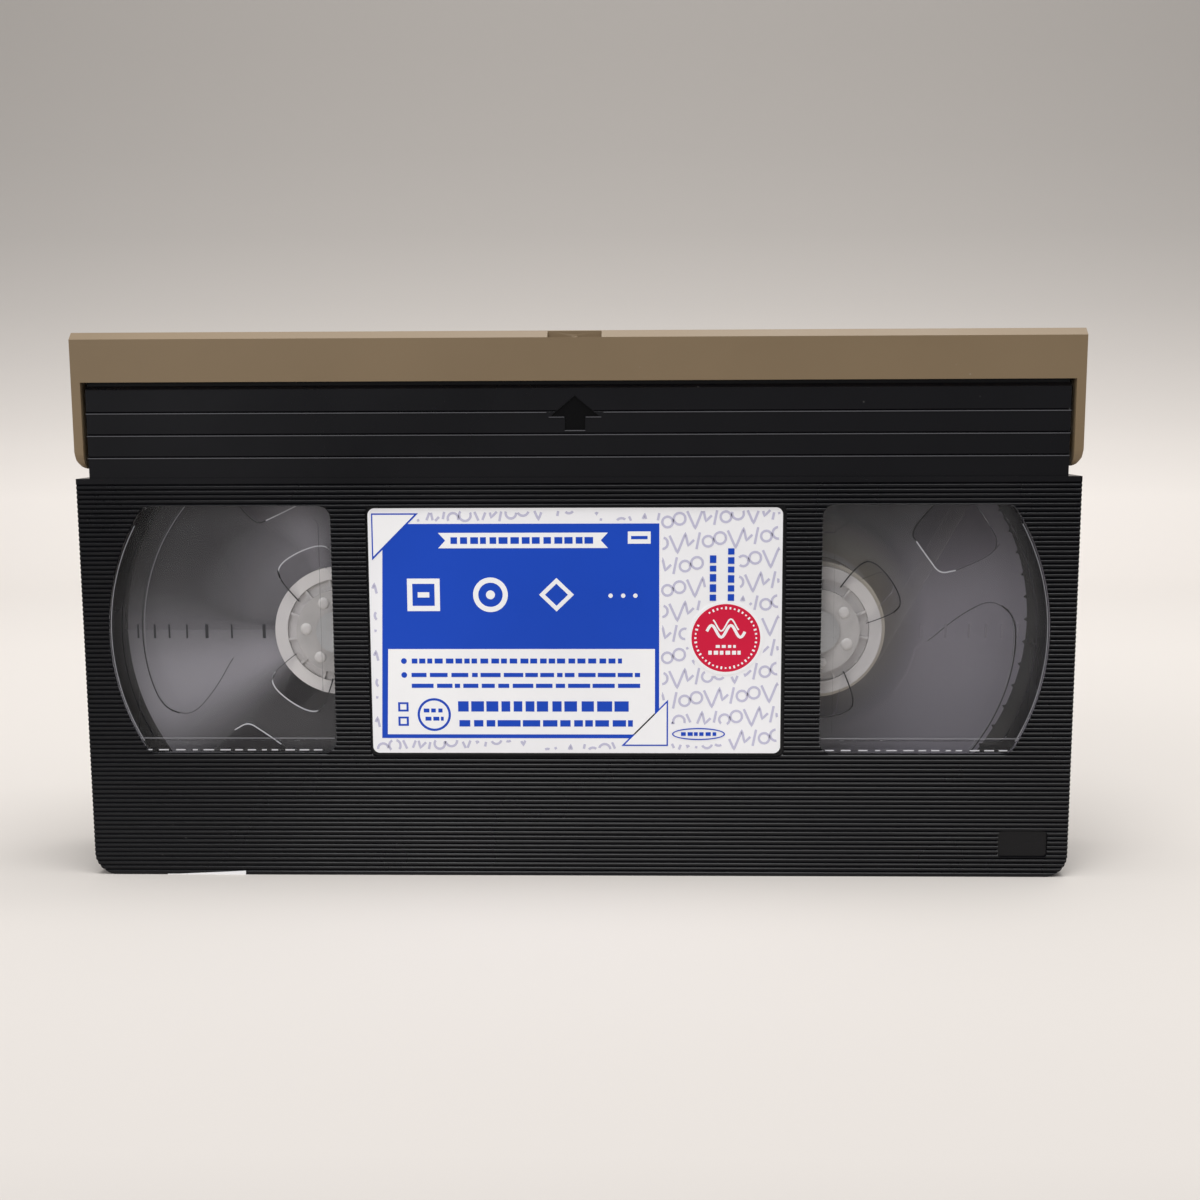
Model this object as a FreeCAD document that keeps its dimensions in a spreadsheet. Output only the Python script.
"""Home-video tape cassette, standing on its spine edge, built from one sheet of named sizes.

X runs along the length, Z runs up to the flap and Y runs through the thickness.
The face with the paper label looks towards -Y.  The origin is at the middle of the
spine edge.  All lengths are in millimetres.
"""
import FreeCAD
import Part
import Sketcher
import math
import os

V = FreeCAD.Vector

SIZES = {
    # case
    "case_width": 188.0,
    "case_thick": 25.0,
    "case_height": 104.0,
    "spine_corner": 4.3,
    "shoulder_drop": 27.1,
    "arm_recess": 2.5,
    "front_gap": 2.7,
    "face_wall": 1.8,
    "side_wall": 2.0,
    "roof_drop": 9.9,
    "roof_step": 1.6,
    "rib_pitch": 0.89,
    "rib_depth": 0.35,
    "groove_height": 0.56,
    "groove_depth": 0.28,
    # label side details
    "label_left": -39.6,
    "label_right": 39.5,
    "label_bottom": 23.5,
    "label_top": 71.7,
    "label_recess": 0.5,
    "label_margin": 0.7,
    "paper_thick": 0.12,
    "seal_centre": 28.3,
    "seal_height": 46.5,
    "seal_radius": 7.05,
    "arrow_drop": 2.0,
    "arrow_head": 3.9,
    "arrow_length": 6.4,
    "arrow_half": 4.65,
    "arrow_stem": 1.9,
    "line_drop": 4.9,
    "line_pitch": 4.15,
    # windows
    "window_inner": 46.2,
    "window_below": 23.1,
    "window_above": 24.4,
    "window_radius": 43.2,
    "window_corner": 2.4,
    "window_sink": 0.35,
    "window_edge": 1.4,
    "window_ledge": 2.4,
    # reels
    "reel_spacing": 92.0,
    "reel_height": 47.3,
    "hub_radius": 12.4,
    "boss_disc": 8.0,
    "flange_radius": 44.3,
    "tooth_radius": 43.9,
    "tooth_depth": 0.6,
    "tooth_count": 60.0,
    "collar_radius": 15.0,
    "socket_radius": 9.0,
    "spline_radius": 7.4,
    "fit": 0.05,
    "full_pack": 41.5,
    "empty_pack": 13.2,
    "tape_width": 12.65,
    "tape_thick": 0.15,
    "tape_drop": 4.0,
    "tape_clear": 0.12,
    "pack_clear": 0.35,
    # mouth and guides
    "mouth_inset": 17.5,
    "mouth_middle": 10.0,
    "mouth_radius": 46.6,
    "mouth_wall": 1.2,
    "guide_inset": 7.5,
    "roller_radius": 3.6,
    "roller_bore": 1.55,
    "post_inset": 14.0,
    "post_radius": 2.0,
    "screw_inset": 13.3,
    "screw_drop": 16.0,
    "screw_radius": 1.25,
    "boss_radius": 2.8,
    # flap
    "band_width": 9.2,
    "flap_plate": 1.7,
    "flap_band": 1.2,
    "flap_chamfer": 1.3,
    "flap_arm": 1.7,
    "arm_length": 25.3,
    "pivot_depth": 4.5,
    "pivot_drop": 21.0,
    "pivot_radius": 1.6,
    "spring_wire": 0.25,
    # brakes and lock
    "brake_across": 7.8,
    "brake_height": 9.8,
    "release_height": 19.0,
    "release_radius": 3.175,
    "lever_axis": 7.5,
    "lock_inset": 2.9,
    "lock_drop": 33.5,
}

doc = FreeCAD.newDocument("Cassette")


class Size:
    """A number together with the sheet expression that it comes from."""

    def __init__(self, value, text):
        self.value = float(value)
        self.text = text

    def __neg__(self):
        return Size(-self.value, f"(-{self.text})")

    def __add__(self, other):
        other = size(other)
        return Size(self.value + other.value, f"({self.text} + {other.text})")

    def __sub__(self, other):
        other = size(other)
        return Size(self.value - other.value, f"({self.text} - {other.text})")

    def __mul__(self, other):
        other = size(other)
        return Size(self.value * other.value, f"({self.text} * {other.text})")

    def __truediv__(self, other):
        other = size(other)
        return Size(self.value / other.value, f"({self.text} / {other.text})")

    def __radd__(self, other):
        return size(other) + self

    def __rsub__(self, other):
        return size(other) - self

    def __rmul__(self, other):
        return size(other) * self


def size(value):
    """Returns the value as a Size; a plain number becomes a constant."""
    if isinstance(value, Size):
        return value
    return Size(value, f"({value:.6f})")


def root(value):
    """Square root of a Size."""
    return Size(math.sqrt(value.value), f"sqrt({value.text})")


def make_sheet():
    """Fills the sheet and returns its named cells as Sizes."""
    sheet = doc.addObject("Spreadsheet::Sheet", "Sizes")
    cells = {}
    for row, (name, value) in enumerate(SIZES.items(), start=1):
        sheet.set(f"A{row}", name)
        sheet.set(f"B{row}", str(value))
        sheet.setAlias(f"B{row}", name)
        cells[name] = Size(value, f"Sizes.{name}")
    doc.recompute()
    return cells


class Named:
    """The sheet's cells as attributes."""

    def __init__(self, cells):
        self.__dict__.update(cells)


s = Named(make_sheet())
FACE = -s.case_thick / 2
BACK = s.case_thick / 2
HALF = s.case_width / 2
ROOF = FACE + s.face_wall
FLOOR = BACK - s.face_wall
STEP_FACE = FACE + s.roof_step
STEP_ROOF = STEP_FACE + 1.6
REEL = s.reel_spacing / 2
SHOULDER = HALF - s.arm_recess
SHOULDER_TOP = s.case_height - s.shoulder_drop
SHELL_FRONT = s.case_height - s.front_gap
ROOF_END = s.case_height - s.roof_drop
PIVOT = FACE + s.pivot_depth
PIVOT_UP = s.case_height - s.pivot_drop
TAPE_EDGE = s.case_height - s.tape_drop - s.tape_thick / 2
GUIDE_TOP = TAPE_EDGE - s.tape_clear
GUIDE = SHOULDER - s.guide_inset
POST = SHOULDER - s.post_inset
MOUTH = SHOULDER - s.mouth_inset
LOCK = SHOULDER - s.lock_inset
LOCK_UP = s.case_height - s.lock_drop
LIGHT_UP = s.reel_height + 34.2
NOTCH = -HALF + 14.1
NOTCH_END = NOTCH + 15.3
SCREWS = [
    (-HALF + 8, 7), (HALF - 8, 7), (0, 31),
    (-SHOULDER + s.screw_inset, s.case_height - s.screw_drop),
    (SHOULDER - s.screw_inset, s.case_height - s.screw_drop),
]


def new_body(label, position=(0, 0, 0), turn=0):
    """A body whose own Y axis runs through the case, turned about that axis in degrees."""
    body = doc.addObject("PartDesign::Body", label)
    body.Label = label
    body.AllowCompound = True
    body.Placement = FreeCAD.Placement(V(0, 0, 0), FreeCAD.Rotation(V(0, 1, 0), -turn))
    for axis, value in zip("xyz", position):
        body.setExpression(f"Placement.Base.{axis}", size(value).text)
    return body


def origin_part(body, role):
    """One of the body's own planes or axes."""
    return next(item for item in body.Origin.OriginFeatures if item.Role == role)


def arc_side(start, end, radius):
    """Arc between two points; a positive radius turns left, a negative one right."""
    if radius < 0:
        start, end = end, start
        radius = -radius
    chord = end - start
    left = V(-chord.y, chord.x, 0).normalize()
    rise = math.sqrt(max(radius * radius - chord.Length ** 2 / 4, 0))
    centre = (start + end) / 2 + left * rise
    first = math.atan2(start.y - centre.y, start.x - centre.x)
    last = math.atan2(end.y - centre.y, end.x - centre.x)
    if last < first:
        last += 2 * math.pi
    return Part.ArcOfCircle(Part.Circle(centre, V(0, 0, 1), radius), first, last)


def bind_constraints(sketch, wanted):
    """Adds constraints and ties each one that has an expression to the sheet."""
    numbers = sketch.addConstraint([constraint for constraint, text in wanted])
    for number, (constraint, text) in zip(numbers, wanted):
        if text:
            sketch.setExpression(f"Constraints[{number}]", text)


def draw_circle(sketch, across, up, radius):
    """A circle with its centre and radius tied to the sheet."""
    across, up, radius = size(across), size(up), size(radius)
    circle = Part.Circle(V(across.value, up.value, 0), V(0, 0, 1), radius.value)
    index = sketch.addGeometry(circle, False)
    bind_constraints(sketch, [
        (Sketcher.Constraint("DistanceX", -1, 1, index, 3, across.value), across.text),
        (Sketcher.Constraint("DistanceY", -1, 1, index, 3, up.value), up.text),
        (Sketcher.Constraint("Radius", index, radius.value), radius.text),
    ])


def draw_loop(sketch, points):
    """A closed loop of corners; a third number makes the side after a corner an arc."""
    corners = [tuple(size(number) for number in point) for point in points]
    places = [V(corner[0].value, corner[1].value, 0) for corner in corners]
    wanted = []
    ends = []
    for number, corner in enumerate(corners):
        start = places[number]
        end = places[(number + 1) % len(places)]
        if len(corner) == 3:
            index = sketch.addGeometry(arc_side(start, end, corner[2].value), False)
            radius = corner[2] if corner[2].value > 0 else -corner[2]
            wanted.append((Sketcher.Constraint("Radius", index, radius.value), radius.text))
            ends.append((index, 1, 2) if corner[2].value > 0 else (index, 2, 1))
        else:
            index = sketch.addGeometry(Part.LineSegment(start, end), False)
            ends.append((index, 1, 2))
    for number, (index, first, last) in enumerate(ends):
        following = ends[(number + 1) % len(ends)]
        wanted.append((Sketcher.Constraint("Coincident", index, last, following[0], following[1]), None))
        across, up = corners[number][:2]
        wanted.append((Sketcher.Constraint("DistanceX", -1, 1, index, first, across.value), across.text))
        wanted.append((Sketcher.Constraint("DistanceY", -1, 1, index, first, up.value), up.text))
    bind_constraints(sketch, wanted)


def prism(body, kind, plane, shapes, low, high):
    """Adds or removes the shapes between two distances along the plane's normal axis."""
    low, high = size(low), size(high)
    sketch = body.newObject("Sketcher::SketchObject", "Profile")
    sketch.AttachmentSupport = [(origin_part(body, f"{plane}_Plane"), "")]
    sketch.MapMode = "FlatFace"
    for shape in shapes:
        if isinstance(shape, tuple):
            draw_circle(sketch, *shape)
        else:
            draw_loop(sketch, shape)
    backwards = plane == "XZ"
    start = high if backwards == (kind == "Pad") else low
    sketch.setExpression("AttachmentOffset.Base.z", (-start if backwards else start).text)
    feature = body.newObject(f"PartDesign::{kind}", kind)
    feature.Profile = sketch
    feature.setExpression("Length", (high - low).text)
    sketch.Visibility = False
    return feature


def pad(body, plane, shapes, low, high):
    """Adds material."""
    return prism(body, "Pad", plane, shapes, low, high)


def pocket(body, plane, shapes, low, high):
    """Removes material."""
    return prism(body, "Pocket", plane, shapes, low, high)


def repeat_up(body, feature, count, pitch):
    """Repeats a feature along Z."""
    pattern = body.newObject("PartDesign::LinearPattern", "Pattern")
    pattern.Originals = [feature]
    pattern.Direction = (origin_part(body, "Z_Axis"), [""])
    pattern.setExpression("Occurrences", f"floor({count.text})")
    pattern.setExpression("Length", f"(floor({count.text}) - 1) * {pitch.text}")
    body.Tip = pattern
    return pattern


def repeat_round(body, feature, count):
    """Repeats a feature around the body's Y axis."""
    pattern = body.newObject("PartDesign::PolarPattern", "Pattern")
    pattern.Originals = [feature]
    pattern.Axis = (origin_part(body, "Y_Axis"), [""])
    pattern.Angle = 360
    pattern.setExpression("Occurrences", size(count).text)
    body.Tip = pattern
    return pattern


def box(left, bottom, right, top):
    """A rectangle."""
    return [(left, bottom), (right, bottom), (right, top), (left, top)]


def rounded_box(left, bottom, right, top, radius):
    """A rectangle with round corners."""
    return [
        (left + radius, bottom), (right - radius, bottom, radius),
        (right, bottom + radius), (right, top - radius, radius),
        (right - radius, top), (left + radius, top, radius),
        (left, top - radius), (left, bottom + radius, radius),
    ]


def sector(inner, outer, half_angle, middle=0):
    """A ring sector around the origin."""
    inner, outer = size(inner), size(outer)
    first = math.radians(middle - half_angle)
    last = math.radians(middle + half_angle)
    return [
        (inner * math.cos(first), inner * math.sin(first)),
        (outer * math.cos(first), outer * math.sin(first), outer),
        (outer * math.cos(last), outer * math.sin(last)),
        (inner * math.cos(last), inner * math.sin(last), -inner),
    ]


def mirrored(loop):
    """The loop on the other side of the middle plane."""
    return [(-size(point[0]),) + tuple(point[1:2]) + tuple(-size(r) for r in point[2:])
            for point in loop]


def both(loop):
    """A loop and its mirror image."""
    return [loop, mirrored(loop)]


def case_outline(inset, top):
    """Outline of the case seen on the label side, moved inwards by an amount."""
    inset, top = size(inset), size(top)
    half = HALF - inset
    narrow = SHOULDER - inset
    shoulder = SHOULDER_TOP - inset
    corner = s.spine_corner - inset
    return [
        (-half + corner, inset), (half - corner, inset, corner),
        (half, inset + corner), (half, shoulder), (narrow, shoulder), (narrow, top),
        (-narrow, top), (-narrow, shoulder), (-half, shoulder),
        (-half, inset + corner, corner),
    ]


def window_outline(inset):
    """Outline of the right window: straight on the inside, following the reel outside."""
    inset = size(inset)
    left = s.window_inner + inset
    bottom = s.reel_height - s.window_below + inset
    top = s.reel_height + s.window_above - inset
    rim = s.window_radius - inset
    corner = s.window_corner - inset * 0.4
    inner = rim - corner
    scale = rim / inner
    low = bottom + corner - s.reel_height
    high = top - corner - s.reel_height
    low_x = root(inner * inner - low * low)
    high_x = root(inner * inner - high * high)
    return [
        (left + corner, bottom),
        (REEL + low_x, bottom, corner),
        (REEL + low_x * scale, s.reel_height + low * scale, rim),
        (REEL + high_x * scale, s.reel_height + high * scale, corner),
        (REEL + high_x, top),
        (left + corner, top, corner),
        (left, top - corner),
        (left, bottom + corner, corner),
    ]


def rim_height(radius, across):
    """Height of a circle around a reel axis at a distance from the middle plane."""
    return s.reel_height + root(radius * radius - (across - REEL) * (across - REEL))


def mouth_outline():
    """The loading mouth cut into the floor of the lower shell."""
    outer = rim_height(s.mouth_radius, MOUTH)
    middle = rim_height(s.mouth_radius, s.mouth_middle)
    top = SHELL_FRONT + 1
    return [
        (-MOUTH, top), (-MOUTH, outer, -s.mouth_radius),
        (-s.mouth_middle, middle), (s.mouth_middle, middle, -s.mouth_radius),
        (MOUTH, outer), (MOUTH, top),
    ]


def mouth_wall_outline():
    """The wall that separates the mouth from the reels."""
    near = s.mouth_radius - s.mouth_wall
    far_half = MOUTH + s.mouth_wall
    outer = rim_height(s.mouth_radius, MOUTH)
    near_outer = rim_height(near, far_half)
    middle = rim_height(s.mouth_radius, s.mouth_middle)
    rise = middle - s.mouth_wall - s.reel_height
    inner = REEL - root(near * near - rise * rise)
    top = TAPE_EDGE - 1.3
    return [
        (-MOUTH, top), (-MOUTH, outer, -s.mouth_radius),
        (-s.mouth_middle, middle), (s.mouth_middle, middle, -s.mouth_radius),
        (MOUTH, outer), (MOUTH, top),
        (far_half, top), (far_half, near_outer, near),
        (inner, middle - s.mouth_wall), (-inner, middle - s.mouth_wall, near),
        (-far_half, near_outer), (-far_half, top),
    ]


def add_ribs(body):
    """Cuts the fine V grooves between the ribs, from the spine edge up to the shoulder."""
    half = s.groove_height / 2
    outside = 0.1
    slope = half / s.groove_depth * outside
    groove = pocket(body, "YZ", [[
        (FACE - outside, s.rib_pitch - half - slope), (FACE + s.groove_depth, s.rib_pitch),
        (FACE - outside, s.rib_pitch + half + slope),
    ]], -HALF - 1, HALF + 1)
    repeat_up(body, groove, SHOULDER_TOP / s.rib_pitch - 0.6, s.rib_pitch)


def sticker_flap():
    """The sliver of the notch sticker that is folded over the lower front edge."""
    return [(NOTCH, -0.5), (NOTCH_END, -0.5), (NOTCH_END, 0.75), (NOTCH, 0.02)]


def upper_shell():
    """Half of the case with the label, the windows and the insertion arrow."""
    body = new_body("upper_shell")
    pad(body, "XZ", [case_outline(0, SHELL_FRONT)], FACE, 0)
    deep = s.rib_depth
    pocket(body, "XZ", [box(-HALF, ROOF_END, HALF, SHELL_FRONT + 1)], FACE - 1, STEP_FACE)
    pocket(body, "XZ", [box(-HALF, SHOULDER_TOP, HALF, ROOF_END + 1)], FACE - 1, FACE + deep)
    edge = ROOF_END
    pocket(body, "YZ", [[
        (FACE - 0.5, edge - 0.9), (FACE - 0.5, edge + 0.3), (FACE + 1.1, edge + 0.3),
        (FACE + 1.1, edge), (FACE + deep, edge - 0.75),
    ]], -HALF, HALF)
    lines = [ROOF_END - s.line_drop - s.line_pitch * step for step in range(3)]
    pocket(body, "YZ", [[
        (FACE + deep - 0.1, height - 0.28), (FACE + deep + 0.18, height),
        (FACE + deep - 0.1, height + 0.28),
    ] for height in lines], -HALF, HALF)
    tip = ROOF_END - s.arrow_drop
    pocket(body, "XZ", [[
        (0, tip), (-s.arrow_half, tip - s.arrow_head), (-s.arrow_stem, tip - s.arrow_head),
        (-s.arrow_stem, tip - s.arrow_length), (s.arrow_stem, tip - s.arrow_length),
        (s.arrow_stem, tip - s.arrow_head), (s.arrow_half, tip - s.arrow_head),
    ]], FACE, FACE + deep + 0.45)
    label = rounded_box(s.label_left, s.label_bottom, s.label_right, s.label_top, 1.3)
    pocket(body, "XZ", [label], FACE - 1, FACE + s.label_recess)
    pocket(body, "XZ", [rounded_box(HALF - 13.3, 3.9, HALF - 3.9, 8.9, 0.6)], FACE - 1, FACE + s.label_recess)
    pocket(body, "XZ", both(window_outline(0)), FACE - 1, ROOF + 1)
    pocket(body, "XZ", [case_outline(s.side_wall, ROOF_END - 1.6)], ROOF, 1)
    inner = SHOULDER - s.side_wall
    pocket(body, "XZ", [box(-inner, ROOF_END - 1.7, inner, SHELL_FRONT + 1)], STEP_ROOF, 1)
    pocket(body, "XZ", both(window_outline(-s.window_edge)), ROOF - 0.7, ROOF + 0.5)
    pocket(body, "XZ", [sticker_flap()], FACE - 1, FACE + s.paper_thick)
    pocket(body, "XY", [box(NOTCH, FACE - 1, NOTCH_END, 1)], -1, s.paper_thick)
    pad(body, "XZ", [(x, z, s.boss_radius) for x, z in SCREWS], ROOF - 0.3, 0)
    pad(body, "XZ", [(-10, s.reel_height, 1.2), (10, s.reel_height, 1.2)], ROOF - 0.3, ROOF + 0.5)
    pad(body, "XZ", [(LOCK, LOCK_UP, 1.2), (LOCK - 3.4, LOCK_UP + 2, 0.8)], ROOF - 0.3, -2.6)
    collar = (PIVOT, PIVOT_UP, s.pivot_radius + 0.45)
    pad(body, "YZ", [collar], -inner - 0.2, -inner + 1.2)
    pocket(body, "XZ", [(x, z, s.screw_radius) for x, z in SCREWS], -9, 1)
    pocket(body, "YZ", [(PIVOT, PIVOT_UP, s.pivot_radius + s.fit)], -HALF, HALF)
    pocket(body, "YZ", [box(-6.9, LOCK_UP + 6.4, -3.1, LOCK_UP + 8.9)], LOCK - 8, HALF + 1)
    pocket(body, "YZ", [box(-7, LOCK_UP + 1.2, 1, LOCK_UP + 4.2)], SHOULDER - 1.5, HALF + 1)
    add_ribs(body)
    return body


def lower_shell():
    """Half of the case with the hub holes, the mouth, the posts and the screw holes."""
    body = new_body("lower_shell")
    pad(body, "XZ", [case_outline(0, SHELL_FRONT)], 0, BACK)
    pocket(body, "XZ", [case_outline(s.side_wall, SHELL_FRONT + 1)], -1, FLOOR)
    pocket(body, "XZ", [mouth_outline()], -1, BACK + 1)
    pad(body, "XZ", [mouth_wall_outline()], STEP_ROOF + 0.3, BACK)
    pad(body, "XZ", [(0, LIGHT_UP, 5.2)], -6, BACK)
    hub_hole = s.collar_radius + s.fit
    pad(body, "XZ", [(-REEL, s.reel_height, hub_hole + 2.4), (REEL, s.reel_height, hub_hole + 2.4)],
        FLOOR - 1, BACK)
    pad(body, "XZ", [(x, z, s.boss_radius) for x, z in SCREWS], 0, FLOOR + 0.3)
    pad(body, "XZ", [(-s.brake_across, s.brake_height, 1.5), (s.brake_across, s.brake_height, 1.5)],
        5.5, FLOOR + 0.3)
    pad(body, "XZ", [(0, 5.2, 0.7)], 6.4, FLOOR + 0.3)
    pad(body, "XZ", both(box(3.9, s.lever_axis - 1.8, 4.9, s.lever_axis + 1.8)), FLOOR - 3.2, FLOOR + 0.3)
    pad(body, "XZ", [(POST, GUIDE_TOP - s.post_radius, s.post_radius)],
        STEP_ROOF + 0.3, FLOOR + 0.3)
    pocket(body, "XZ", [(-REEL, s.reel_height, hub_hole), (REEL, s.reel_height, hub_hole)],
           FLOOR - 2, BACK + 1)
    pocket(body, "XZ", [(0, s.release_height, s.release_radius)], FLOOR - 1, BACK + 1)
    pocket(body, "XZ", [(x, z, s.screw_radius + 0.2) for x, z in SCREWS], -1, BACK + 1)
    pocket(body, "XZ", [(x, z, s.boss_radius - 0.05) for x, z in SCREWS], BACK - 1.6, BACK + 1)
    pocket(body, "YZ", [(FLOOR - 1.4, s.lever_axis, 1.05)], -6, 6)
    pocket(body, "XZ", [(0, LIGHT_UP, 3.9)], -5, BACK + 1)
    pocket(body, "YZ", [box(-3, LIGHT_UP - 1, 3, LIGHT_UP + 1)], -6, 6)
    for low, high in ((-HALF, -MOUTH + 1), (MOUTH - 1, HALF)):
        pocket(body, "YZ", [(5.5, s.case_height - 12, 1.8)], low, high)
    pocket(body, "YZ", [box(-1, LOCK_UP + 1.2, BACK + 1, LOCK_UP + 4.2)], SHOULDER - 1.5, HALF + 1)
    pocket(body, "XY", [box(NOTCH + 2.9, 4, NOTCH + 12.4, FLOOR)], -1, s.side_wall + 1)
    pocket(body, "XY", [box(NOTCH, -1, NOTCH_END, 11.5)], -1, s.paper_thick)
    return body


def window(label, side):
    """Clear insert: a plug in the opening and a wider edge behind the face wall."""
    body = new_body(label)
    shape = (lambda loop: loop) if side > 0 else mirrored
    pad(body, "XZ", [shape(window_outline(0.04 - s.window_edge))], ROOF - 0.7, ROOF)
    pad(body, "XZ", [shape(window_outline(0.04))], FACE + s.window_sink, ROOF - 0.6)
    pocket(body, "XZ", [shape(window_outline(s.window_ledge))], FACE + s.window_sink - 1,
           FACE + s.window_sink + 0.5)
    return body


def flap():
    """Front door with its label-side band, two side arms and the pivot pins."""
    body = new_body("flap")
    top = s.case_height
    cut = s.flap_chamfer
    far = BACK - 0.2
    pad(body, "YZ", [[
        (FACE, top - s.band_width), (FACE + s.flap_band, top - s.band_width),
        (FACE + s.flap_band, top - s.flap_plate), (far, top - s.flap_plate),
        (far, top - 0.4), (far - 0.4, top), (FACE + cut, top), (FACE, top - cut),
    ]], -HALF, HALF)
    end = s.case_height - s.arm_length
    reach = PIVOT_UP - end
    arm = [
        (FACE, top - cut), (FACE, end + 2.8, 2.8), (FACE + 2.8, end), (PIVOT, end, reach),
        (PIVOT + reach, PIVOT_UP), (FACE + 16.5, top - 7), (far, top - 4.5),
        (far, top - 0.4), (far - 0.4, top), (FACE + cut, top),
    ]
    pad(body, "YZ", [arm], HALF - s.flap_arm, HALF)
    pad(body, "YZ", [arm], -HALF, -HALF + s.flap_arm)
    pocket(body, "XZ", both([
        (HALF + 1, end - 1), (HALF + 1, end + 3.2), (HALF, end + 3.2), (HALF - 0.25, end + 1.6),
        (HALF - 0.9, end + 0.4), (HALF - 1.5, end), (HALF - 1.5, end - 1),
    ]), FACE - 1, PIVOT + 6)
    pin = [(PIVOT, PIVOT_UP, s.pivot_radius)]
    inner = SHOULDER - s.side_wall
    pad(body, "YZ", pin, inner + 0.2, HALF - 0.5)
    pad(body, "YZ", pin, -HALF + 0.5, -inner - 0.2)
    pocket(body, "XZ", [box(-5, top - cut, 5, top + 1)], FACE - 1, FACE + s.flap_band)
    pad(body, "XZ", [(0, top - cut - 0.1, 0.6)], FACE + 0.35, FACE + s.flap_band + 0.1)
    return body


def reel_body(label, side, turn):
    """A body placed on one of the two reel axes."""
    return new_body(label, (REEL * side, 0, s.reel_height), turn)


def reel(label, side, turn):
    """Hub with its toothed lower flange, collar, drive socket and centre boss."""
    body = reel_body(label, side, turn)
    pad(body, "XZ", [(0, 0, s.tooth_radius)], 6.9, 8.2)
    tooth = s.tooth_radius - s.tooth_depth
    notch = pocket(body, "XZ", [[
        (tooth, 0), (s.tooth_radius + 1, -1.2), (s.tooth_radius + 1, 1.2),
    ]], 6, 9)
    repeat_round(body, notch, s.tooth_count)
    pad(body, "XZ", [(0, 0, s.hub_radius)], -7.6, 7)
    pad(body, "XZ", [(0, 0, s.collar_radius)], 8, BACK - 0.4)
    pocket(body, "XZ", [(0, 0, 10), (0, 0, s.boss_disc)], -8, -3)
    pad(body, "XZ", [(0, 0, s.boss_disc)], -9, -5)
    pocket(body, "XZ", [sector(10.2, s.hub_radius + 0.4, 16)], -6.6, 6.4)
    pocket(body, "XZ", [(0, 0, s.socket_radius)], 0, BACK)
    spline = pad(body, "XZ", [box(s.spline_radius, -0.9, s.socket_radius + 0.4, 0.9)], 0.1, BACK - 1.4)
    repeat_round(body, spline, 6)
    return body


def petal():
    """One inner opening of the clear flange."""
    wide = math.radians(28)
    slim = math.radians(8)
    return [
        (9 * math.cos(wide), -9 * math.sin(wide)),
        (16 * math.cos(slim), -16 * math.sin(slim), 2.6),
        (16 * math.cos(slim), 16 * math.sin(slim)),
        (9 * math.cos(wide), 9 * math.sin(wide), -9),
    ]


def around_axis(middle, corners):
    """A loop from corners given by radius and degrees; a third number makes an arc."""
    centre = (size(0), size(0))
    return [point_at(centre, size(radius), middle + degrees) + tuple(arc)
            for radius, degrees, *arc in corners]


def kidney(middle):
    """Outline of one raised panel: wide outside, narrow inside, with round corners."""
    return around_axis(middle, [
        (19, -14), (24.5, -27), (31.5, -33, 6.5), (37.8, -24, 37.8), (37.8, 24, 6.5),
        (31.5, 33), (24.5, 27), (19, 14, -19),
    ])


def cut_out():
    """Outline of one outer opening of the clear flange, with round corners."""
    return around_axis(0, [
        (25, -6, 3), (28, -12), (35, -12, 3), (38, -7.5, 38), (38, 7.5, 3), (35, 12),
        (28, 12, 3), (25, 6, -25),
    ])


def top_flange(label, side, turn):
    """Clear upper flange with petals, cut-outs and raised kidney panels."""
    body = reel_body(label, side, turn)
    pad(body, "XZ", [(0, 0, s.flange_radius), (0, 0, s.boss_disc + 0.1)], -8.3, -7.6)
    raised = pad(body, "XZ", [kidney(60)], -8.9, -8.2)
    repeat_round(body, raised, 3)
    openings = pocket(body, "XZ", [petal(), cut_out()], -9, -7)
    repeat_round(body, openings, 3)
    return body


def tape_pack(label, side, turn, radius):
    """Wound tape around the hub."""
    body = reel_body(label, side, turn)
    half = s.tape_width / 2
    pad(body, "XZ", [(0, 0, radius), (0, 0, s.hub_radius + 0.02)], -half, half)
    return body


def tape_clamp(label, side, turn):
    """Wedge that holds the end of the tape in the hub."""
    body = reel_body(label, side, turn)
    pad(body, "XZ", [sector(10.2, s.hub_radius, 16)], -6.6, 6.4)
    return body


def point_at(centre, radius, degrees):
    """The point at an angle on a circle."""
    angle = math.radians(degrees)
    return (centre[0] + radius * math.cos(angle), centre[1] + radius * math.sin(angle))


def tape_path(extra):
    """Corners of one side of the tape, with the radii where it wraps a guide."""
    height = GUIDE_TOP - s.roller_radius
    wrap = s.roller_radius + s.tape_clear + extra
    supply = (-REEL, s.reel_height)
    takeup = (REEL, s.reel_height)
    left = (-GUIDE, height)
    right = (GUIDE, height)
    far = -28.6
    return [
        point_at(supply, s.full_pack + s.pack_clear + extra, 180), point_at(left, wrap, 180),
        point_at(left, wrap, 90), point_at(right, wrap, 90), point_at(right, wrap, far),
        point_at(takeup, s.empty_pack + s.pack_clear + extra, far),
    ], wrap


def tape_run():
    """Ribbon from the full pack over the roller and guides to the other reel."""
    body = new_body("tape_run")
    half = s.tape_width / 2
    near, inside = tape_path(size(0))
    far, outside = tape_path(s.tape_thick)
    for index in (1, 3):
        near[index] += (-inside,)
    for index in (2, 4):
        far[index] += (outside,)
    pad(body, "XZ", [near + far[::-1]], -half, half)
    return body


def guide(label, across, radius, centre=None):
    """A round guide between the two shells."""
    body = new_body(label)
    shapes = [(across, GUIDE_TOP - radius if centre is None else centre, radius)]
    pad(body, "XZ", shapes, STEP_ROOF, FLOOR)
    return body


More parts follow.
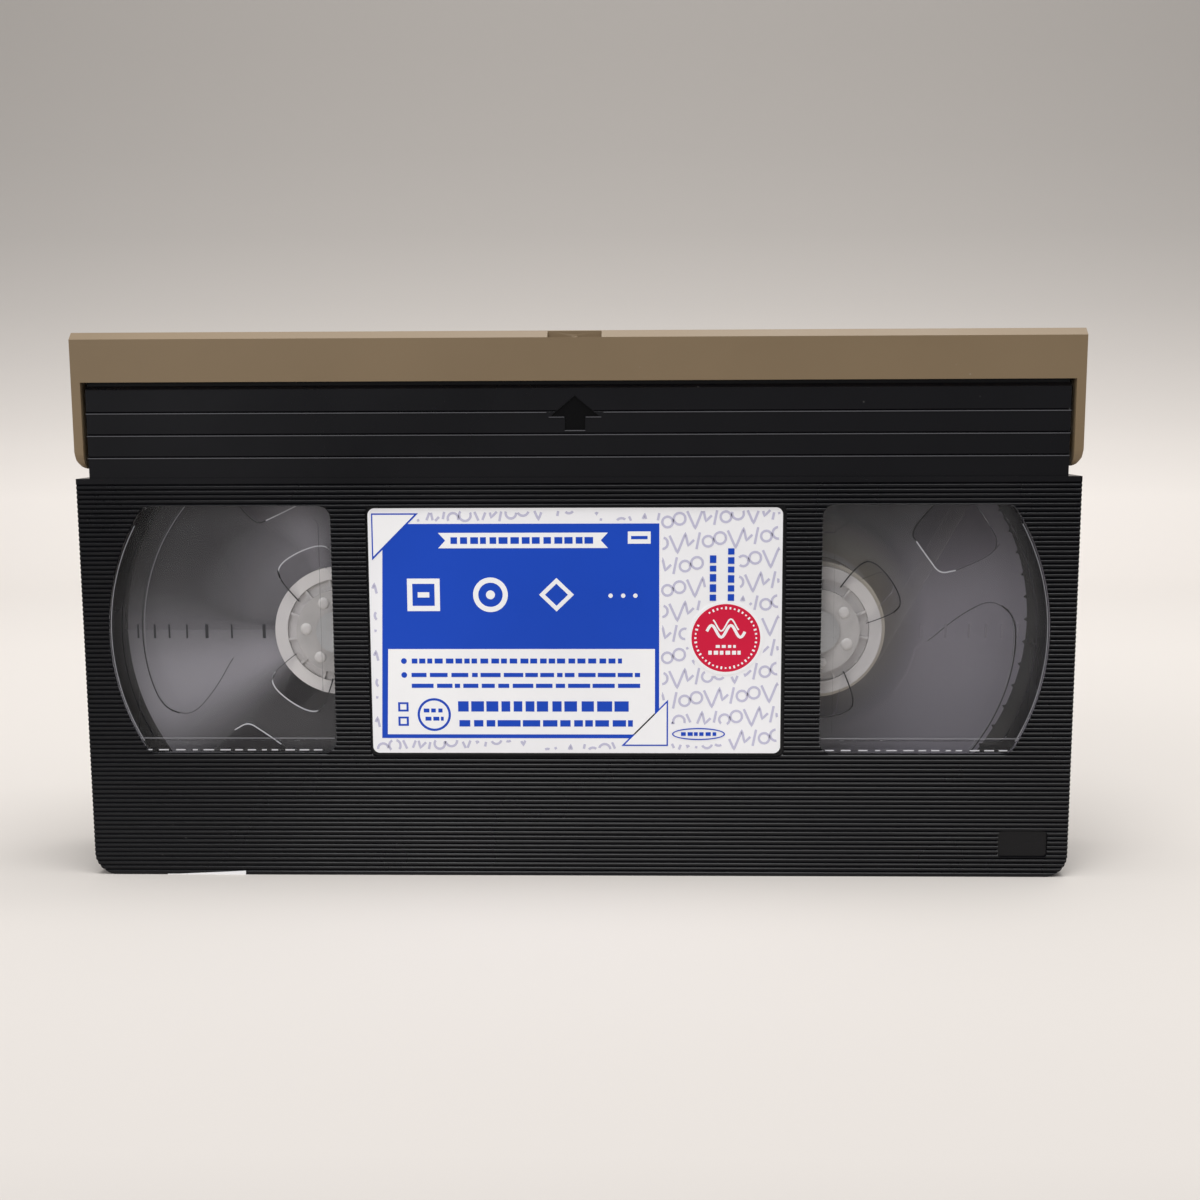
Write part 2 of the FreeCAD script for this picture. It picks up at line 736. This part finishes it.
def guide_roller():
    """Flanged roller in the supply corner."""
    body = new_body("guide_roller")
    height = GUIDE_TOP - s.roller_radius
    pad(body, "XZ", [(-GUIDE, height, s.roller_radius)], -7.2, 7.2)
    pad(body, "XZ", [(-GUIDE, height, s.roller_radius + 0.8)], -7.2, -6.5)
    pad(body, "XZ", [(-GUIDE, height, s.roller_radius + 0.8)], 6.5, 7.2)
    pocket(body, "XZ", [(-GUIDE, height, s.roller_bore)], -8, 8)
    return body


def reel_spring():
    """Leaf spring staked to the roof; its two round ends press on the hub bosses."""
    body = new_body("reel_spring")
    low = ROOF + 0.25
    end_high = size(-9.55)
    end_low = size(-9.3)
    pad(body, "XY", [[
        (-REEL, end_high), (-16, ROOF), (16, ROOF), (REEL, end_high),
        (REEL, end_low), (16.2, low), (-16.2, low), (-REEL, end_low),
    ]], s.reel_height - 2.2, s.reel_height + 2.2)
    pad(body, "XZ", [(-REEL, s.reel_height, 4.1), (REEL, s.reel_height, 4.1)], end_high, end_low)
    pocket(body, "XZ", [(-10, s.reel_height, 1.2), (10, s.reel_height, 1.2)], ROOF - 1, ROOF + 1)
    return body


def flap_spring():
    """Torsion spring on the collar beside the left flap pivot."""
    body = new_body("flap_spring")
    start = -(SHOULDER - s.side_wall)
    wire = s.spring_wire * 2
    inner = s.pivot_radius + 0.45
    outer = inner + wire
    pad(body, "YZ", [(PIVOT, PIVOT_UP, outer), (PIVOT, PIVOT_UP, inner)], start, start + wire * 2.3)
    pad(body, "YZ", [box(PIVOT - outer, PIVOT_UP, PIVOT - inner, PIVOT_UP + 8.5)],
        start, start + wire)
    return body


def flap_lock():
    """Sprung lever whose nose stands under the right arm of the flap."""
    body = new_body("flap_lock")
    across = LOCK
    height = LOCK_UP
    pad(body, "XZ", [(across, height, 2.0)], -6.5, -3.5)
    pad(body, "XZ", [[
        (across - 1.5, height), (across + 0.6, height), (across + 0.6, height + 1.6),
        (across + 1.6, height + 2.4), (across + 0.6, height + 3.4), (across + 0.6, height + 6.8),
        (across + 3.6, height + 7.3), (across + 3.6, height + 7.6), (across + 0.6, height + 8.1),
        (across - 1.5, height + 8.1),
    ]], -6.5, -3.5)
    pocket(body, "XZ", [(across, height, 1.25)], -7, -3)
    return body


def flap_lock_spring():
    """Leaf that pushes the lock lever outwards."""
    body = new_body("flap_lock_spring")
    pad(body, "XZ", [[
        (LOCK - 2.6, LOCK_UP), (LOCK - 2.3, LOCK_UP), (LOCK - 2.3, LOCK_UP + 2.4),
        (LOCK - 1.52, LOCK_UP + 7), (LOCK - 1.82, LOCK_UP + 7), (LOCK - 2.6, LOCK_UP + 2.6),
    ]], -6, -4)
    return body


def brake(label, side):
    """Toothed brake pawl that stands beside a reel's lower flange."""
    body = new_body(label)
    shape = (lambda loop: loop) if side > 0 else mirrored
    across = s.brake_across
    height = s.brake_height
    pad(body, "XZ", [(across * side, height, 2.6)], 6.7, 8.4)
    pad(body, "XZ", [shape([
        (across - 1.6, height), (across + 2.4, height), (across + 4.9, height + 7.6),
        (across + 4.4, height + 8.5), (across + 1.2, height + 9.2), (across + 0.2, height + 6.5),
    ])], 6.7, 8.4)
    pocket(body, "XZ", [(across * side, height, 1.55)], 6, 9)
    return body


def brake_release():
    """Lever over the release hole; the drive's pin lifts its free end."""
    body = new_body("brake_release")
    axis = FLOOR - 1.4
    pad(body, "XZ", [box(-3.6, s.lever_axis - 1.6, 3.6, s.release_height + 4.5)], axis - 0.5, axis + 0.5)
    pad(body, "YZ", [(axis, s.lever_axis, 1.0)], -4.9, 4.9)
    pad(body, "XZ", both([
        (2.4, s.release_height - 5), (3.6, s.release_height - 5),
        (3.6, s.release_height + 4.5), (2.9, s.release_height + 4.5),
    ]), axis - 1.6, axis)
    return body


def brake_spring():
    """Bent wire between the two brake pawls."""
    body = new_body("brake_spring")
    pad(body, "XZ", [[
        (-5.0, 4.0), (5.0, 4.0), (4.7, 12.2), (4.2, 12.2), (4.5, 4.5), (-4.5, 4.5),
        (-4.2, 12.2), (-4.7, 12.2),
    ]], 6.8, 7.3)
    return body


def screws():
    """Five screws driven in from the back."""
    body = new_body("screws")
    seat = BACK - 1.6
    pad(body, "XZ", [(x, z, s.screw_radius) for x, z in SCREWS], -8, seat + 0.1)
    pad(body, "XZ", [(x, z, s.boss_radius - 0.25) for x, z in SCREWS], seat, BACK - 0.3)
    cross = []
    for x, z in SCREWS:
        cross.append([
            (x - 1.5, z - 0.3), (x - 0.3, z - 0.3), (x - 0.3, z - 1.5), (x + 0.3, z - 1.5),
            (x + 0.3, z - 0.3), (x + 1.5, z - 0.3), (x + 1.5, z + 0.3), (x + 0.3, z + 0.3),
            (x + 0.3, z + 1.5), (x - 0.3, z + 1.5), (x - 0.3, z + 0.3), (x - 1.5, z + 0.3),
        ])
    pocket(body, "XZ", cross, BACK - 1.1, BACK)
    return body


def front_label():
    """Paper label in its recess."""
    body = new_body("front_label")
    floor = FACE + s.label_recess
    gap = s.label_margin
    pad(body, "XZ", [rounded_box(s.label_left + gap * 0.6, s.label_bottom + gap,
                                 s.label_right - gap, s.label_top - gap * 0.7, 1.3)],
        floor - s.paper_thick, floor)
    return body


def seal_sticker():
    """Round sticker on the label."""
    body = new_body("seal_sticker")
    under = FACE + s.label_recess - s.paper_thick
    pad(body, "XZ", [(s.seal_centre, s.seal_height, s.seal_radius)], under - 0.08, under)
    return body


def notch_sticker():
    """Sticker over the record notch on the spine; a sliver is folded over the front edge."""
    body = new_body("notch_sticker")
    pad(body, "XY", [box(NOTCH, FACE, NOTCH_END, 11.5)], 0, s.paper_thick)
    pad(body, "XZ", [[
        (NOTCH, 0), (NOTCH_END, 0), (NOTCH_END, 0.75), (NOTCH, 0.02),
    ]], FACE, FACE + s.paper_thick)
    return body


SUPPLY_TURN = 115
TAKEUP_TURN = 36


def make_parts():
    """All pieces of the cassette."""
    corner = GUIDE_TOP - s.roller_radius
    parts = [
        upper_shell(), lower_shell(), window("left_window", -1), window("right_window", 1),
        flap(), flap_spring(), flap_lock(), flap_lock_spring(),
        reel_spring(), guide_roller(),
        guide("roller_pin", -GUIDE, size(1.5), corner),
        guide("left_guide_pin", -POST, s.post_radius),
        guide("right_guide_pin", GUIDE, s.roller_radius),
        tape_run(), brake("brake_left", -1), brake("brake_right", 1),
        brake_release(), brake_spring(), screws(),
        front_label(), seal_sticker(), notch_sticker(),
    ]
    for name, side, turn, radius in (("supply", -1, SUPPLY_TURN, s.full_pack),
                                     ("takeup", 1, TAKEUP_TURN, s.empty_pack)):
        parts += [
            reel(f"{name}_reel", side, turn),
            top_flange(f"{name}_top_flange", side, turn),
            tape_pack(f"{name}_tape_pack", side, turn, radius),
            tape_clamp(f"{name}_clamp", side, turn),
        ]
    return parts


def check_document():
    """Stops when any object of the document failed."""
    for item in doc.Objects:
        states = [state for state in item.State if state in ("Invalid", "Error")]
        if states:
            raise RuntimeError(f"{item.Label} of {item.getParentGroup() or item.getParentGeoFeatureGroup()} failed")


def main():
    """Builds, checks and writes every piece."""
    parts = make_parts()
    doc.recompute()
    check_document()
    os.makedirs("parts", exist_ok=True)
    for part in parts:
        shape = part.Shape
        if shape.isNull() or not shape.isValid():
            raise RuntimeError(f"{part.Label} has no valid shape")
        shape.exportStep(f"parts/{part.Label}.step")


main()
